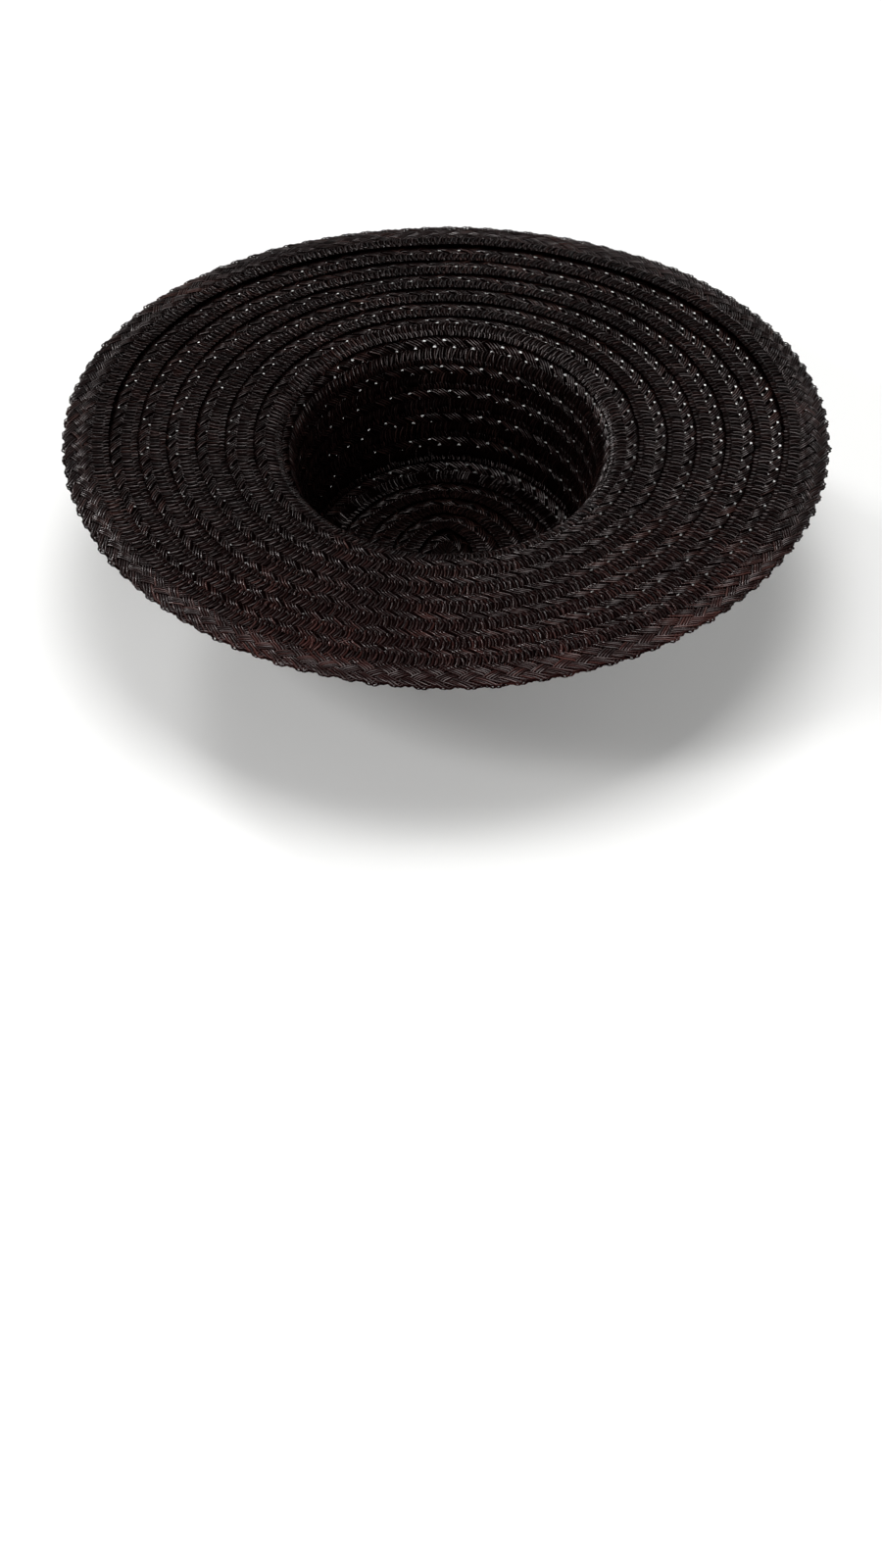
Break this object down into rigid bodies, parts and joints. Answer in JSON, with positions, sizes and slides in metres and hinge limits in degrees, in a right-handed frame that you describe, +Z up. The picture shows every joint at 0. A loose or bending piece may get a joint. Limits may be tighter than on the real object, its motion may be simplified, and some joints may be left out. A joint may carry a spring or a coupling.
{
  "type": "wide brim sun hat",
  "caption": "Black wide brim sun hat of sewn straw plait, with a flat-topped oval crown, resting crown down with its brim's underside up.",
  "frame": {"origin": "centre of the crown tip's outer face, on which the hat rests, below the middle of the brim", "axes": "+Z up from the crown tip to the brim's underside, -Y to the hat's front, X from side to side"},
  "size_m": [0.3944, 0.4304, 0.0939],
  "materials": {
    "straw": "dyed plaited straw, semi-gloss"
  },
  "bodies": {
    "root": {"tip_centre": "straw", "tip_row_1": "straw", "tip_row_2": "straw", "tip_row_3": "straw", "shoulder_row": "straw", "side_row_1": "straw", "side_row_2": "straw", "side_row_3": "straw", "side_row_4": "straw", "headline_row": "straw", "brim_row_1": "straw", "brim_row_2": "straw", "brim_row_3": "straw", "brim_row_4": "straw", "brim_row_5": "straw", "brim_row_6": "straw", "rim_row": "straw"}
  },
  "joints": []
}
